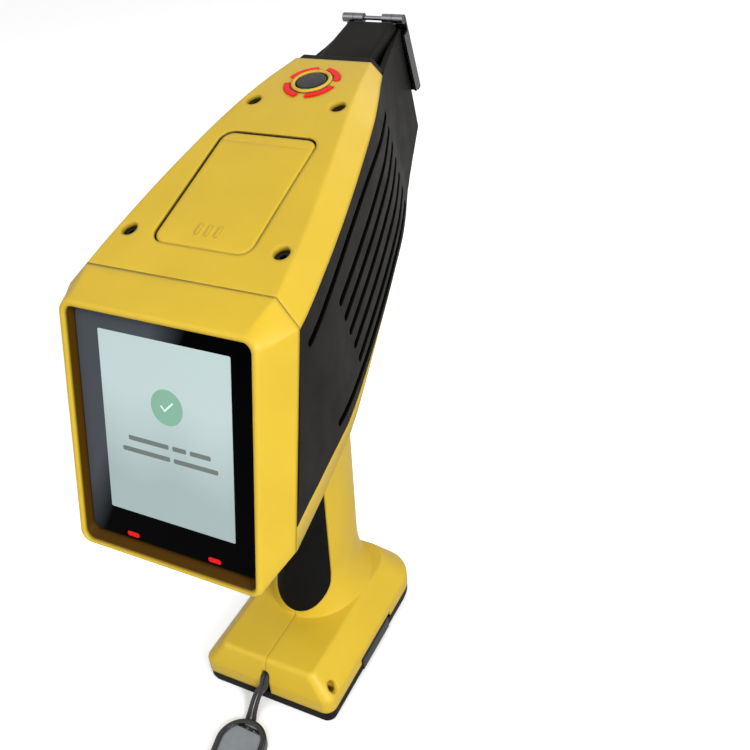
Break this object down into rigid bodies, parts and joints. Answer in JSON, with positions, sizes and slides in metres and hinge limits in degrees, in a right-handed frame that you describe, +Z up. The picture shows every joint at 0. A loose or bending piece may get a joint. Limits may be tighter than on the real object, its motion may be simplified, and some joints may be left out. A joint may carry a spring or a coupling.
{
  "type": "handheld xrf analyzer",
  "caption": "Pistol-shaped handheld X-ray fluorescence analyser with a rear screen, hinged port door, trigger, folding nose plate and a slide-out battery foot.",
  "frame": {"origin": "centre of the battery foot's flat underside, where the instrument stands", "axes": "+Z up, +Y towards the measuring nose, +X to the operator's right"},
  "size_m": [0.093, 0.2279, 0.2646],
  "materials": {
    "yellow_shell": "satin, very fine grain",
    "black_shell": "satin",
    "dark_rubber": "matt",
    "grey_button": "satin",
    "smoke_glass": "gloss",
    "lcd": "satin",
    "red_lens": "translucent",
    "steel": "brushed",
    "screw_steel": "black oxide",
    "aluminium": "machined",
    "board": "solder mask",
    "foam": "foam",
    "potting": "cast",
    "brass": "plated",
    "film": "thin film",
    "cord": "braided",
    "fob_black": "gloss",
    "fob_grey": "satin",
    "door_yellow": "satin"
  },
  "bodies": {
    "housing": {"top_cover": "yellow_shell", "rear_bezel": "yellow_shell", "side_panel_left": "black_shell", "side_panel_right": "black_shell", "handle_shell_left": "yellow_shell", "handle_shell_right": "yellow_shell", "nose_housing": "black_shell", "window_frame": "black_shell", "window_film": "film", "hinge_bracket": "steel", "plate_hinge_pin": "steel", "screen_glass": "smoke_glass", "status_leds": "red_lens", "lcd_module": "lcd", "screen_gasket": "foam", "main_board": "board", "light_ring": "red_lens", "ring_board": "board", "button_spring": "steel", "door_hinge_pin": "steel", "port_bay": "black_shell", "usb_socket": "steel", "card_slot": "steel", "cover_screws": "screw_steel", "chassis_frame": "aluminium", "hv_supply": "potting", "xray_tube": "steel", "detector": "steel", "handle_screws": "screw_steel", "rubber_grip": "dark_rubber", "trigger_pin": "steel", "trigger_spring": "steel", "trigger_switch": "black_shell", "terminal_block": "black_shell", "lanyard_bar": "steel", "lanyard_cord": "cord", "fob_rim": "fob_black", "fob_face": "fob_grey"},
    "battery": {"battery_stick": "black_shell", "battery_foot": "black_shell", "battery_contacts": "brass", "latch_spring_left": "steel", "latch_spring_right": "steel"},
    "latch_left": {"latch_button_left": "grey_button"},
    "latch_right": {"latch_button_right": "grey_button"},
    "door": {"port_door": "door_yellow"},
    "nose_plate": {"calibration_plate": "steel"},
    "button": {"power_button": "grey_button"},
    "trigger_lever": {"trigger": "black_shell"}
  },
  "joints": [
    {"name": "battery_slide", "type": "slide", "parent": "housing", "child": "battery", "axis": [0, -0.0785, -0.9969], "range_m": [0, 0.11]},
    {"name": "battery_latch_left", "type": "slide", "parent": "battery", "child": "latch_left", "axis": [1, 0, 0], "range_m": [0, 0.0018], "stiffness_N_per_m": 900, "springref_m": -0.001, "deforming": ["latch_spring_left"]},
    {"name": "battery_latch_right", "type": "slide", "parent": "battery", "child": "latch_right", "axis": [-1, 0, 0], "range_m": [0, 0.0018], "stiffness_N_per_m": 900, "springref_m": -0.001, "deforming": ["latch_spring_right"]},
    {"name": "trigger_pivot", "type": "hinge", "parent": "housing", "child": "trigger_lever", "pos_m": [0, 0.03943, 0.14692], "axis": [-1, 0, 0], "range_deg": [0, 10], "stiffness_Nm_per_rad": 0.25, "springref_deg": -5.73, "deforming": ["trigger_spring"]},
    {"name": "port_door_hinge", "type": "hinge", "parent": "housing", "child": "door", "pos_m": [0, 0.01935, 0.2419], "axis": [-1, 0, 0], "range_deg": [0, 95]},
    {"name": "nose_plate_hinge", "type": "hinge", "parent": "housing", "child": "nose_plate", "pos_m": [0, 0.11195, 0.26274], "axis": [1, 0, 0], "range_deg": [0, 180]},
    {"name": "power_button_press", "type": "slide", "parent": "housing", "child": "button", "axis": [0, 0.1925, -0.9813], "range_m": [0, 0.0012], "stiffness_N_per_m": 800, "springref_m": -0.0008, "deforming": ["button_spring"]}
  ]
}
